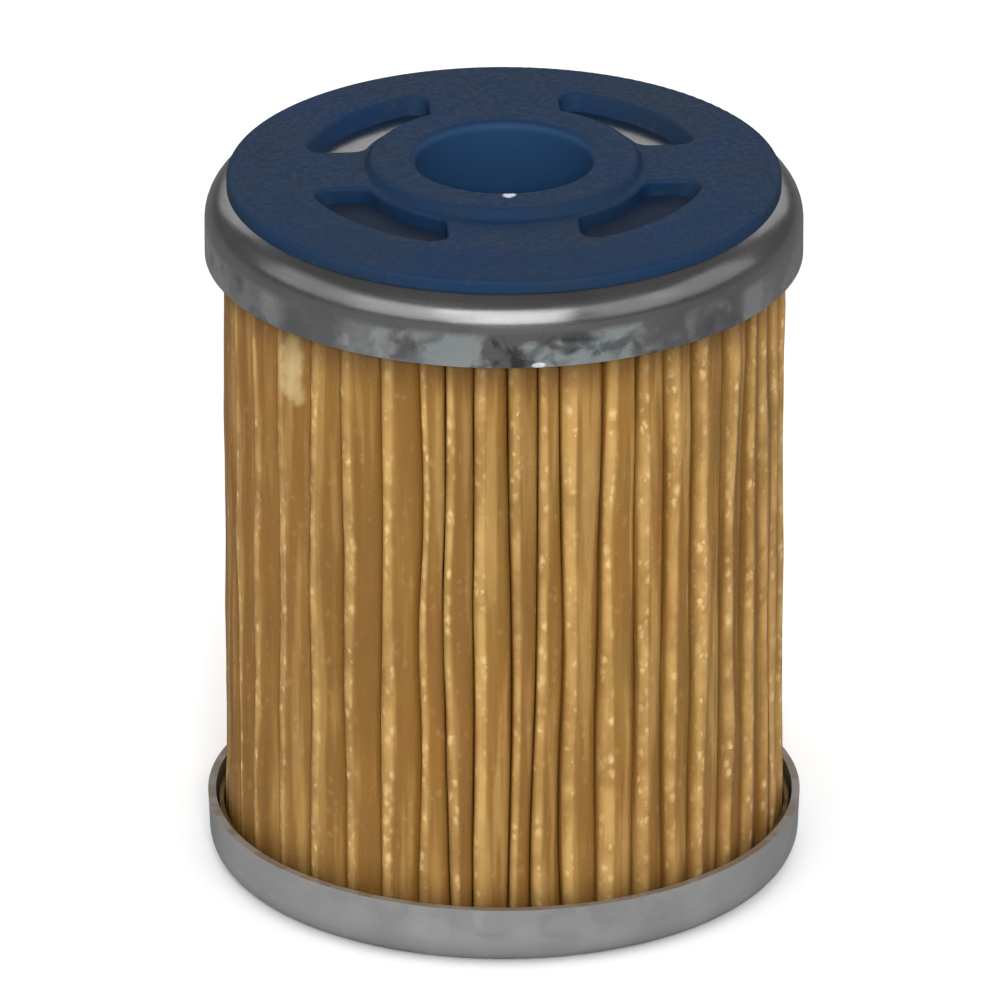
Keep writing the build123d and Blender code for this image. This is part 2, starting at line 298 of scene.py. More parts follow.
def bump(tree, shader, height, strength, distance):
    node = addNode(tree, "ShaderNodeBump", {"Height": height, "Strength": strength, "Distance": distance})
    tree.links.new(node.outputs["Normal"], shader.inputs["Normal"])


def heightOf(tree, place):
    return addNode(tree, "ShaderNodeSeparateXYZ", {"Vector": place}).outputs["Z"]


print("shader groups ready")


# end caps: plated steel, dull, with stains near the open cap's lower edge
capLook = {
    "bright": (0.47, 0.47, 0.475, 1),
    "dull": (0.38, 0.38, 0.38, 1),
    "stain": (0.118, 0.150, 0.147, 1),
    "residue": (0.16, 0.105, 0.045, 1),
    # painted shade: dark blue for the bare window steel on the front side, where it lies in shadow
    "tarnishAndPaintedShade": (0.0025, 0.012, 0.036, 1),
    "soot": (0.035, 0.042, 0.045, 1),
    "nick": (0.44, 0.46, 0.50, 1),
    "stainBand": 2.5 * mm,
    "stainFade": 0.8 * mm,
    "frontStain": (0.5 * mm, 10.5 * mm),      # how far right of the middle the worst stain is, and its reach
    # roughness of that painted shade coat
    "bareRoughness": 0.17,
    "paintedShadeRoughness": 0.75,
    "skirt": 4.7 * mm,
    "nickTurn": 6.5,
    "nickSize": (0.50 * mm, 0.20 * mm),
}


# stainEdge is the height of the rim that the stains start from, and stainWay the way they run;
# residue is how much glue shows at that rim
def capSteel(name, stainEdge, stainWay, stainAmount, tone, roughness, sheen, residue, nick=None):
    material, tree, shader, place = newMaterial(name)
    rolled = useGroup(tree, "rolled", Vector=place)
    blotch = useGroup(tree, "stains", Vector=place, Scale=150.0, Coverage=0.5, Softness=0.2)["Mask"]
    flow = useGroup(tree, "stains", Vector=place, Scale=300.0, Coverage=0.55, Softness=0.09)["Mask"]
    soot = useGroup(tree, "stains", Vector=place, Scale=430.0, Coverage=0.42, Softness=0.07)["Mask"]
    quarter = useGroup(tree, "stains", Vector=place, Scale=38.0, Coverage=0.5, Softness=0.12)["Mask"]
    aside, reach = capLook["frontStain"]
    worst = (aside, -capRadius, stainEdge)
    front = useGroup(tree, "spot", Vector=place, Centre=worst, Width=reach, Height=30 * mm)["Mask"]
    around = calc(tree, "ADD", times(tree, quarter, 0.55), front, clamp=True)
    top = stainEdge + stainWay * capLook["stainBand"]
    band = remap(tree, heightOf(tree, place), top, top - stainWay * capLook["stainFade"])
    band = times(tree, band, times(tree, around, stainAmount))
    greenish = times(tree, flow, band)
    sooty = times(tree, soot, band)
    bright = tuple(c * tone for c in capLook["bright"][:3]) + (1,)
    dull = tuple(c * tone for c in capLook["dull"][:3]) + (1,)
    colour = mixColour(tree, blotch, bright, dull)
    colour = mixColour(tree, times(tree, rolled["Lines"], 0.2), colour, dull)
    colour = mixColour(tree, greenish, colour, capLook["stain"])
    colour = mixColour(tree, sooty, colour, capLook["soot"])
    low, high = roughness
    rough = remap(tree, rolled["Lines"], 0.0, 1.0, low, high)
    rough = calc(tree, "ADD", rough, times(tree, greenish, 0.25))
    rough = calc(tree, "SUBTRACT", rough, times(tree, rolled["Scratches"], 0.06))
    covered = remap(tree, heightOf(tree, place), bareFrom, bareFrom + 0.02 * mm)
    rough = mixValue(tree, covered, rough, capLook["bareRoughness"])
    # painted shade: a dark blue coat over the bare steel of the windows on the front side stands in for
    # their shadow and for the shaded lip wall they mirror
    side = addNode(tree, "ShaderNodeSeparateXYZ", {"Vector": place}).outputs["Y"]
    tarnishAndPaintedShade = times(tree, covered, remap(tree, side, 0.0, -2.0 * mm))
    tarnishAndPaintedShade = times(tree, tarnishAndPaintedShade, remap(tree, blotch, 0.0, 1.0, 1.0, 0.985))
    colour = mixColour(tree, tarnishAndPaintedShade, colour, capLook["tarnishAndPaintedShade"])
    rough = mixValue(tree, tarnishAndPaintedShade, rough, capLook["paintedShadeRoughness"])
    glueLow, glueHigh = stainEdge - stainWay * 0.02 * mm, stainEdge + stainWay * 0.10 * mm
    glued = remap(tree, heightOf(tree, place), glueLow, glueHigh, residue, 0.0)
    glued = times(tree, glued, remap(tree, soot, 0.0, 1.0, 1.0, 0.6))
    colour = mixColour(tree, glued, colour, capLook["residue"])
    metal = calc(tree, "SUBTRACT", sheen, times(tree, greenish, sheen * 0.8))
    # the painted shade coat makes the window steel not metallic
    metal = calc(tree, "SUBTRACT", metal, times(tree, tarnishAndPaintedShade, 0.97), clamp=True)
    metal = calc(tree, "SUBTRACT", metal, times(tree, glued, 0.5), clamp=True)
    if nick:
        nickWidth, nickHeight = capLook["nickSize"]
        bare = useGroup(tree, "spot", Vector=place, Centre=nick, Width=nickWidth, Height=nickHeight)["Mask"]
        colour = mixColour(tree, bare, colour, capLook["nick"])
        metal = calc(tree, "SUBTRACT", metal, times(tree, bare, 0.7), clamp=True)
    tree.links.new(colour, shader.inputs["Base Color"])
    tree.links.new(rough, shader.inputs["Roughness"])
    tree.links.new(metal, shader.inputs["Metallic"])
    height = calc(tree, "ADD", rolled["Height"], times(tree, greenish, 0.2))
    bump(tree, shader, height, 0.25, 0.06 * mm)
    return material


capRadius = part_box("top_end_cap")[1].x
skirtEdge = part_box("top_end_cap")[1].z - capLook["skirt"]
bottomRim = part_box("bottom_end_cap")[1].z
nickTurn = math.radians(capLook["nickTurn"])
nick = (capRadius * math.sin(nickTurn), -capRadius * math.cos(nickTurn), skirtEdge + 0.15 * mm)
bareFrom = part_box("top_end_cap")[1].z - 0.03 * mm      # the flat that the seal's windows leave bare
dress("top_end_cap", capSteel("openCapSteel", skirtEdge, 1, 0.7, 1.0, (0.20, 0.28), 1.0, 0.0, nick))
dress("bottom_end_cap", capSteel("closedCapSteel", bottomRim, -1, 0.12, 1.16, (0.40, 0.50), 0.75, 0.85))


# rubber: matt blue seal, black washer
rubberLook = {
    "blue": (0.0034, 0.0228, 0.0700, 1),
    "worn": (0.0075, 0.0245, 0.0560, 1),
    "dust": (0.030, 0.038, 0.050, 1),
    # painted light: the bore's wall gets a lighter blue than the seal, in place of the shade it lies in
    "borePaintedLight": (0.0125, 0.0440, 0.1060, 1),
    # painted glint: a pale spot on the lip's near inner edge stands in for a highlight
    "paintedGlint": (0.50, 0.50, 0.58, 1),
    "boreEdge": (5.95 * mm, 5.65 * mm),       # the bore's colour fades in between these radii
    "paintedGlintAt": (0.3 * mm, -6.25 * mm),
    "paintedGlintSize": (0.55 * mm, 0.40 * mm),
    "roughness": (0.48, 0.66),
}
washerLook = {
    "black": (0.02, 0.02, 0.021, 1),
    "oily": (0.035, 0.034, 0.032, 1),
    "roughness": (0.4, 0.6),
}


def sealRubber():
    material, tree, shader, place = newMaterial("sealRubber", IOR=1.45, Specular_IOR_Level=0.25)
    grain = useGroup(tree, "grain", Vector=place, Scale=2600.0)
    patch = useGroup(tree, "stains", Vector=place, Scale=150.0, Coverage=0.5, Softness=0.2)["Mask"]
    dust = useGroup(tree, "stains", Vector=place, Scale=900.0, Coverage=0.14, Softness=0.05)["Mask"]
    colour = mixColour(tree, patch, rubberLook["blue"], rubberLook["worn"])
    colour = mixColour(tree, times(tree, dust, 0.4), colour, rubberLook["dust"])
    # painted glint on the lip's near inner edge
    wide, deep = rubberLook["paintedGlintSize"]
    paintedGlint = useGroup(tree, "spot", Vector=place, Centre=paintedGlintPlace, Width=wide, Height=deep)["Mask"]
    colour = mixColour(tree, paintedGlint, colour, rubberLook["paintedGlint"])
    fromAxis = lengthOf(tree, vectorCalc(tree, "MULTIPLY", place, (1.0, 1.0, 0.0)))
    # painted light: lighter blue inside the bore, fading in between the given radii
    inBore = remap(tree, fromAxis, *rubberLook["boreEdge"])
    colour = mixColour(tree, inBore, colour, rubberLook["borePaintedLight"])
    tree.links.new(colour, shader.inputs["Base Color"])
    rough = remap(tree, grain["Value"], 0.0, 1.0, *rubberLook["roughness"])
    tree.links.new(rough, shader.inputs["Roughness"])
    bump(tree, shader, grain["Height"], 0.10, 0.02 * mm)
    return material


def washerRubber():
    material, tree, shader, place = newMaterial("washerRubber", IOR=1.5)
    grain = useGroup(tree, "grain", Vector=place, Scale=3200.0)
    oil = useGroup(tree, "stains", Vector=place, Scale=500.0, Coverage=0.4, Softness=0.15)["Mask"]
    colour = mixColour(tree, oil, washerLook["black"], washerLook["oily"])
    tree.links.new(colour, shader.inputs["Base Color"])
    rough = remap(tree, grain["Value"], 0.0, 1.0, *washerLook["roughness"])
    tree.links.new(rough, shader.inputs["Roughness"])
    bump(tree, shader, grain["Height"], 0.25, 0.02 * mm)
    return material


# the painted glint is placed at the seal's top
paintedGlintPlace = (*rubberLook["paintedGlintAt"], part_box("end_seal")[1].z)
dress("end_seal", sealRubber())
dress("valve_washer", washerRubber())


# inner metal: for each finish its bright and dull colours, its roughness and the scale of its marks
innerLook = {
    "tubeSteel": ((0.47, 0.47, 0.46, 1), (0.34, 0.33, 0.31, 1), (0.28, 0.45), 260.0),
    "clipSteel": ((0.62, 0.62, 0.61, 1), (0.50, 0.49, 0.47, 1), (0.35, 0.50), 260.0),
    "valveSteel": ((0.50, 0.46, 0.36, 1), (0.38, 0.33, 0.24, 1), (0.25, 0.4), 420.0),
    "wireSteel": ((0.52, 0.52, 0.51, 1), (0.42, 0.42, 0.41, 1), (0.18, 0.3), 700.0),
}


def sheetSteel(name):
    bright, dull, roughness, scale = innerLook[name]
    material, tree, shader, place = newMaterial(name, Metallic=1.0)
    rolled = useGroup(tree, "rolled", Vector=place, Dent_Scale=scale, Line_Scale=3200.0)
    # here this mask is only tarnish on the inner steel
    tarnishAndPaintedShade = useGroup(tree, "stains", Vector=place, Scale=scale, Coverage=0.45, Softness=0.15)["Mask"]
    colour = mixColour(tree, tarnishAndPaintedShade, bright, dull)
    colour = mixColour(tree, times(tree, rolled["Scratches"], 0.3), colour, bright)
    tree.links.new(colour, shader.inputs["Base Color"])
    tree.links.new(remap(tree, rolled["Lines"], 0.0, 1.0, *roughness), shader.inputs["Roughness"])
    bump(tree, shader, rolled["Height"], 0.3, 0.05 * mm)
    return material


valveSteel = sheetSteel("valveSteel")
wireSteel = sheetSteel("wireSteel")
dress("centre_tube", sheetSteel("tubeSteel"))
dress("seam_clip", sheetSteel("clipSteel"))
for valvePiece in ("valve_cage", "valve_disc", "valve_stem"):
    dress(valvePiece, valveSteel)
print("caps, seal and inner metal dressed")


# pleated paper
pleats = {
    "count": 46,
    "sheet": 0.40 * mm,
    "gap": (0.01 * mm, 0.04 * mm),
    "wideSide": (224, 40, 0.26),      # direction of the opened-out pleats, their reach, how much wider
    "tightSide": (264, 20, 0.30),     # direction of the squeezed pleats, their reach, how much narrower
    "lean": (0.13, 0.11, 0.045),      # sideways, twisting and wavy shares of a pleat's width
    "leanLimit": 0.3,
    "ridgeAt": 0.27,                  # where the ridge and the slope are in a pleat's width
    "slopeAt": 0.58,
    "slopeDrop": 0.42,
    "slack": (0.05 * mm, 0.10 * mm),
    "shingle": (0.20 * mm, 0.58 * mm),
    "lag": (0.05 * mm, 0.18 * mm),
    "seamHalf": 1.16 * mm,
    "shoulderBend": 0.56 * mm,
    "ridgeBend": 0.75 * mm,
    "rootBend": 0.27 * mm,
    "legSide": 0.22 * mm,             # the free edges in the seam clip
    "legDrop": 0.28 * mm,
    "crumple": 0.012 * mm,
    "crumpleRoom": 0.02 * mm,
    "levels": 60,
    "seed": 11,
}


# smooth noise of about unit size over a cells by levels grid
def smoothWave(rng, across, along, count, cells):
    total = np.zeros((len(along), count))
    for step in range(cells):
        phase = rng.uniform(0, 2 * math.pi, count)
        size = rng.normal(0, 1, count) / (1 + 0.6 * step)
        total += size * np.sin(2 * math.pi * (across + step * 0.83) * along[:, None] + phase)
    return total


def bumpOver(angle, centre, reach):
    away = np.abs((angle - centre + 180) % 360 - 180)
    return np.where(away < reach * 1.6, 0.5 + 0.5 * np.cos(np.pi * away / (reach * 1.6)), 0)


# arc points and outer normals at each corner; the arrays are levels by corners by 2
def roundCorners(before, corner, after, radius, steps):
    toBefore = before - corner
    toAfter = after - corner
    lengthBefore = np.linalg.norm(toBefore, axis=-1, keepdims=True)
    lengthAfter = np.linalg.norm(toAfter, axis=-1, keepdims=True)
    toBefore = toBefore / lengthBefore
    toAfter = toAfter / lengthAfter
    half = np.arccos(np.clip((toBefore * toAfter).sum(-1, keepdims=True), -0.99999, 0.99999)) / 2
    cut = np.minimum(radius / np.tan(half), 0.46 * np.minimum(lengthBefore, lengthAfter))
    radius = cut * np.tan(half)
    inward = toBefore + toAfter
    inward = inward / np.maximum(np.linalg.norm(inward, axis=-1, keepdims=True), 1e-9)
    centre = corner + inward * radius / np.sin(half)
    first = (corner + toBefore * cut - centre) / radius
    last = (corner + toAfter * cut - centre) / radius
    sweep = math.pi - 2 * half
    points, normals = [], []
    for step in range(steps):
        share = step / (steps - 1)
        spoke = (np.sin((1 - share) * sweep) * first + np.sin(share * sweep) * last) / np.sin(sweep)
        onward = np.stack([-spoke[..., 1], spoke[..., 0]], -1)
        onward = onward * np.sign((onward * (toAfter - toBefore)).sum(-1, keepdims=True))
        points.append(centre + spoke * radius)
        normals.append(np.stack([onward[..., 1], -onward[..., 0]], -1))
    return np.stack(points, 2), np.stack(normals, 2)


def pleatedPaper(material):
    rng = np.random.default_rng(pleats["seed"])
    low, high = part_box("filter_paper")
    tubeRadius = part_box("centre_tube")[1].x
    outer = high.x
    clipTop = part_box("seam_clip")[1].y
    count = pleats["count"]
    sheet = pleats["sheet"]
    along = np.linspace(0, 1, pleats["levels"])
    rim = outer - sheet / 2
    root = tubeRadius + 0.1 * mm + sheet / 2

    # valley directions round the pack, counted from the seam at the back
    seamHalf = math.degrees(pleats["seamHalf"] / outer)
    walk = np.linspace(90 + seamHalf, 450 - seamHalf, 2000)
    wide = 1 + pleats["wideSide"][2] * bumpOver(walk, *pleats["wideSide"][:2])
    wide = wide - pleats["tightSide"][2] * bumpOver(walk, *pleats["tightSide"][:2])
    crowd = np.concatenate([[0], np.cumsum(1 / wide[1:])])
    valleys = np.interp(np.linspace(0, crowd[-1], count), crowd, walk)
    widths = np.diff(valleys)
    ease = np.sin(np.pi * (np.arange(count - 1) + 0.5) / (count - 1)) ** 0.3
    sideways, twist, wave = pleats["lean"]
    limit = pleats["leanLimit"]
    lean = sideways * rng.normal(0, 1, count - 1)
    lean = lean + twist * rng.normal(0, 1, count - 1) * (2 * along[:, None] - 1)
    lean = lean + wave * smoothWave(rng, 0.9, along, count - 1, 3)
    left = valleys[:-1] + np.clip(lean, -limit, limit) * widths * ease
    left[:, 0] = 90 + seamHalf
    right = np.concatenate([left[:, 1:], np.full((len(along), 1), 450 - seamHalf)], 1)
    span = right - left

    # the corners of each pleat's section: root, left shoulder, ridge, slope, right shoulder, root
    rootPitch = 360 / count
    rootMiddle = 90 + (np.arange(count) + 0.5) * rootPitch + rng.normal(0, 0.3, count)
    gap = rng.uniform(*pleats["gap"], count - 1)
    inset = np.degrees((gap + sheet) / 2 / outer)
    wavy, even = pleats["slack"]
    slack = np.abs(smoothWave(rng, 0.8, along, count - 1, 3)) * wavy
    slack = slack + rng.uniform(0, even, count - 1)
    crest = rim - slack
    lag = rng.uniform(*pleats["lag"], count - 1)
    shingle = rng.uniform(*pleats["shingle"], count - 1) * np.clip(span / 8, 0.5, 1.2)
    shingle = shingle * (1 + 0.2 * smoothWave(rng, 1.1, along, count - 1, 2))
    shingle = np.clip(shingle, 0.08 * mm, 0.9 * mm)
    ridgeAt = np.clip(pleats["ridgeAt"] + 0.04 * smoothWave(rng, 0.9, along, count - 1, 2), 0.17, 0.36)

    def polar(angle, radius):
        angle = np.radians(angle)
        radius = np.broadcast_to(radius, angle.shape)
        return np.stack([radius * np.cos(angle), radius * np.sin(angle)], -1)

    level = np.ones((len(along), 1))
    rootTurn = math.degrees(pleats["rootBend"] / root)
    slope = polar(left + span * pleats["slopeAt"], crest - shingle * pleats["slopeDrop"])
    corners = [
        (polar(rootMiddle[:-1] * level + rootTurn, root), pleats["rootBend"]),
        (polar(left + inset, crest - lag), pleats["shoulderBend"]),
        (polar(left + span * ridgeAt, crest), pleats["ridgeBend"]),
        (slope, pleats["ridgeBend"] * 2),
        (polar(right - inset, crest - shingle), pleats["shoulderBend"]),
        (polar(rootMiddle[1:] * level - rootTurn, root), pleats["rootBend"]),
    ]
    path = np.stack([c for c, bend in corners], 2).reshape(len(along), -1, 2)
    bends = np.tile([bend for c, bend in corners], count - 1)

    # free edges: both stand in the seam clip
    legTop = clipTop - pleats["legDrop"]
    firstLeg = np.tile([[-pleats["legSide"], legTop]], (len(along), 1, 1))
    lastLeg = firstLeg * [-1, 1]
    firstRoot = polar(rootMiddle[:1] * level - rootTurn, root)
    lastRoot = polar(rootMiddle[-1:] * level + rootTurn, root)
    path = np.concatenate([firstLeg, firstRoot, path, lastRoot, lastLeg], 1)
    bends = np.concatenate([[pleats["rootBend"]], bends, [pleats["rootBend"]]])
    steps = 3
    arcs, normals = roundCorners(path[:, :-2], path[:, 1:-1], path[:, 2:], bends[:, None], steps)
    line = arcs.reshape(len(along), -1, 2)
    normal = normals.reshape(len(along), -1, 2)
    endNormal = np.tile([[-1.0, 0.0]], (len(along), 1, 1))
    line = np.concatenate([firstLeg, line, lastLeg], 1)
    normal = np.concatenate([endNormal, normal, -endNormal], 1)

    # small crumples on the crests only
    radius = np.linalg.norm(line, axis=-1)
    onCrest = np.clip((radius - (rim - 1.2 * mm)) / (1.0 * mm), 0, 1)
    crumple = smoothWave(rng, 4.0, along, line.shape[1] // steps + 1, 6)
    crumple = np.clip(crumple.repeat(steps, 1)[:, : line.shape[1]], -2, 2)
    sink = crumple * pleats["crumple"] * onCrest + pleats["crumpleRoom"] * onCrest
    line = line - normal * sink[..., None]

    outerFace = line + normal * sheet / 2
    innerFace = line - normal * sheet / 2
    heights = low.z + (high.z - low.z) * along
    rows, columns = line.shape[:2]
    tall = np.broadcast_to(heights[:, None], (rows, columns))
    outerPoints = np.dstack([outerFace, tall]).reshape(-1, 3)
    innerPoints = np.dstack([innerFace, tall]).reshape(-1, 3)
    faces = gridFaces(rows, columns)
    faces += gridFaces(rows, columns, rows * columns, flip=True)
    shift = rows * columns
    for column in range(columns - 1):
        faces.append((column + 1, column, column + shift, column + 1 + shift))
        top = (rows - 1) * columns + column
        faces.append((top, top + 1, top + 1 + shift, top + shift))
    for row in range(rows - 1):
        start = row * columns
        faces.append((start, start + columns, start + columns + shift, start + shift))
        end = start + columns - 1
        faces.append((end + columns, end, end + shift, end + columns + shift))
    paper = makeMesh("pleatedPaper", np.vstack([outerPoints, innerPoints]), faces, material)

    # fold is 0 deep in a valley, ridge is 1 on the crests, and tone gives each pleat its own shade
    reach = np.clip((np.linalg.norm(outerFace, axis=-1) - (outer - 1.6 * mm)) / (1.4 * mm), 0, 1)
    ridge = np.zeros(columns)
    for index in range(count - 1):
        start = 1 + steps * (1 + index * len(corners))
        ridge[start + steps : start + 3 * steps] = (0.35, 0.6, 0.8, 1.0, 0.9, 0.5)
    ridge = np.broadcast_to(ridge, reach.shape)
    wander = 0.5 + 0.22 * rng.normal(0, 1, count - 1)
    wander = wander + 0.10 * smoothWave(rng, 0.8, along, count - 1, 3)
    tone = np.full(reach.shape, 0.5)
    for index in range(count - 1):
        start = 1 + steps * (1 + index * len(corners))
        tone[:, start : start + steps * len(corners)] = np.clip(wander[:, index : index + 1], 0, 1)
    for name, values in (("fold", reach), ("ridge", ridge), ("tone", tone)):
        layer = paper.data.attributes.new(name, "FLOAT", "POINT")
        bothFaces = np.concatenate([values.ravel(), values.ravel() * 0])
        layer.data.foreach_set("value", bothFaces.astype(np.float32))
    return paper


paperLook = {
    "base": (0.254, 0.127, 0.0225, 1),
    "shade": (0.150, 0.066, 0.0110, 1),
    "olive": (0.165, 0.112, 0.0220, 1),
    "rusty": (0.240, 0.096, 0.0190, 1),
    "pale": (0.46, 0.280, 0.090, 1),
    # painted sparkle: warm pale colour for the glints of the resin's shine
    "paintedSparkle": (0.58, 0.405, 0.180, 1),
    # painted shade colour under the open cap and above the closed cap's rim
    "deep": (0.075, 0.034, 0.007, 1),
    # painted shade colour for the valleys between the pleats
    "crease": (0.230, 0.105, 0.018, 1),
    "smear": (0.52, 0.44, 0.22, 1),
    "smearSize": (1.2 * mm, 3.4 * mm),
    "smearAt": (-49, 18 * mm, 38.6 * mm),     # turn from the front, distance from the axis, height
    "underSkirt": (3.4 * mm, 0.3 * mm, 0.66), # where the shade starts and ends, and how dark it gets
    # painted shade above the closed cap's rim: where it starts and ends, and how dark it gets
    "aboveRim": (2.4 * mm, 0.4 * mm, 0.40),
    "roughness": (0.45, 0.70),
}


def paperMaterial():
    material, tree, shader, place = newMaterial("pleatPaper", IOR=1.45, Specular_IOR_Level=0.3)
    fibre = useGroup(tree, "grain", Vector=place, Scale=1500.0, Draw_Out=5.0)
    streak = useGroup(tree, "grain", Vector=place, Scale=520.0, Draw_Out=9.0)
    thread = useGroup(tree, "grain", Vector=place, Scale=1150.0, Draw_Out=16.0, Roughness=0.45)
    fine = useGroup(tree, "grain", Vector=place, Scale=4200.0, Roughness=0.7)
    resin = useGroup(tree, "stains", Vector=place, Scale=130.0, Coverage=0.5, Softness=0.2)["Mask"]
    pale = useGroup(tree, "stains", Vector=place, Scale=330.0, Coverage=0.45, Softness=0.2)["Mask"]
    rust = useGroup(tree, "stains", Vector=place, Scale=95.0, Coverage=0.45, Softness=0.2)["Mask"]
    cluster = useGroup(tree, "stains", Vector=place, Scale=260.0, Coverage=0.66, Softness=0.16)["Mask"]
    large = useGroup(tree, "specks", Vector=place, Scale=1750.0, Share=0.66, Size=0.60)["Mask"]
    small = useGroup(tree, "specks", Vector=place, Scale=2300.0, Share=0.22, Size=0.6)["Mask"]
    wide, tall = paperLook["smearSize"]
    smear = useGroup(tree, "spot", Vector=place, Centre=smearPlace, Width=wide, Height=tall)["Mask"]
    fold = addNode(tree, "ShaderNodeAttribute", attribute_name="fold").outputs["Fac"]
    ridge = addNode(tree, "ShaderNodeAttribute", attribute_name="ridge").outputs["Fac"]
    tone = addNode(tree, "ShaderNodeAttribute", attribute_name="tone").outputs["Fac"]
    colour = mixColour(tree, times(tree, streak["Value"], 0.55), paperLook["base"], paperLook["shade"])
    colour = mixColour(tree, times(tree, resin, 0.5), colour, paperLook["olive"])
    colour = mixColour(tree, times(tree, rust, 0.45), colour, paperLook["rusty"])
    threadLight = remap(tree, thread["Value"], 0.45, 1.0, 0.0, 0.50)
    colour = mixColour(tree, threadLight, colour, paperLook["pale"])
    threadDark = remap(tree, thread["Value"], 0.45, 0.0, 0.0, 0.40)
    colour = mixColour(tree, threadDark, colour, paperLook["shade"])
    colour = mixColour(tree, times(tree, tone, 0.55), colour, paperLook["shade"])
    colour = mixColour(tree, times(tree, fibre["Value"], 0.25), colour, paperLook["shade"])
    # crests made paler: partly paler fibres at the fold, partly a painted highlight
    crease = remap(tree, ridge, 0.30, 0.90)
    ridgeFibreAndPaintedHighlight = calc(tree, "ADD", times(tree, pale, 0.55), 0.25)
    colour = mixColour(tree, times(tree, ridgeFibreAndPaintedHighlight, crease), colour, paperLook["pale"])
    # painted sparkle: pale specks along the crests, and a few off them, stand in for glints
    paintedSparkleMask = times(tree, times(tree, large, cluster), crease)
    paintedSparkleMask = times(tree, paintedSparkleMask, 0.88)
    speckled = times(tree, times(tree, small, cluster), 0.12)
    paintedSparkleMask = calc(tree, "ADD", paintedSparkleMask, speckled, clamp=True)
    colour = mixColour(tree, paintedSparkleMask, colour, paperLook["paintedSparkle"])
    colour = mixColour(tree, times(tree, smear, 0.45), colour, paperLook["smear"])
    height = heightOf(tree, place)
    # painted shade: the paper darkens under the open cap's skirt and above the closed cap's rim
    start, end, dark = paperLook["underSkirt"]
    under = remap(tree, height, skirtEdge - start, skirtEdge - end, 0.0, dark)
    start, end, dark = paperLook["aboveRim"]
    above = remap(tree, height, bottomRim + start, bottomRim - end, 0.0, dark)
    colour = mixColour(tree, calc(tree, "MAXIMUM", under, above), colour, paperLook["deep"])
    # painted shade: darker towards the valleys between the pleats
    inValley = remap(tree, fold, 0.92, 0.35, 0.0, 0.9)
    colour = mixColour(tree, inValley, colour, paperLook["crease"])
    tree.links.new(colour, shader.inputs["Base Color"])
    rough = remap(tree, fine["Value"], 0.0, 1.0, *paperLook["roughness"])
    rough = calc(tree, "SUBTRACT", rough, times(tree, paintedSparkleMask, 0.2))
    tree.links.new(rough, shader.inputs["Roughness"])
    height = calc(tree, "ADD", fine["Height"], times(tree, fibre["Height"], 1.2))
    height = calc(tree, "ADD", height, times(tree, streak["Height"], 2.0))
    height = calc(tree, "ADD", height, times(tree, thread["Height"], 2.2))
    height = calc(tree, "ADD", height, times(tree, paintedSparkleMask, 0.8))
    bump(tree, shader, height, 0.6, 0.09 * mm)
    return material


smearTurn, smearOut, smearHigh = paperLook["smearAt"]
smearTurn = math.radians(smearTurn)
smearPlace = (smearOut * math.sin(smearTurn), -smearOut * math.cos(smearTurn), smearHigh)
paper = pleatedPaper(paperMaterial())
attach(paper, "cartridge")
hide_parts("filter_paper")
print("pleated paper:", sum(len(face.vertices) - 2 for face in paper.data.polygons), "triangles")


# adhesive: poured beds that creep up the paper and the caps' walls
adhesiveLook = {
    "clear": (0.20, 0.125, 0.045, 1),
    "deep": (0.10, 0.055, 0.018, 1),
    "roughness": (0.22, 0.5),
}


def adhesiveMaterial():
    material, tree, shader, place = newMaterial("pottingAdhesive", IOR=1.5)
    cloud = useGroup(tree, "stains", Vector=place, Scale=350.0, Coverage=0.5, Softness=0.15)["Mask"]
    grain = useGroup(tree, "grain", Vector=place, Scale=1800.0)
    colour = mixColour(tree, cloud, adhesiveLook["clear"], adhesiveLook["deep"])
    tree.links.new(colour, shader.inputs["Base Color"])
    rough = remap(tree, grain["Value"], 0.0, 1.0, *adhesiveLook["roughness"])
    tree.links.new(rough, shader.inputs["Roughness"])
    bump(tree, shader, grain["Height"], 0.3, 0.05 * mm)
    return material


bead = {
    "around": 360,
    "creep": 0.32 * mm,
    "ripple": 0.10 * mm,
    "bed": 1.0 * mm,
    "corner": 1.2 * mm,
    "seed": 5,
}


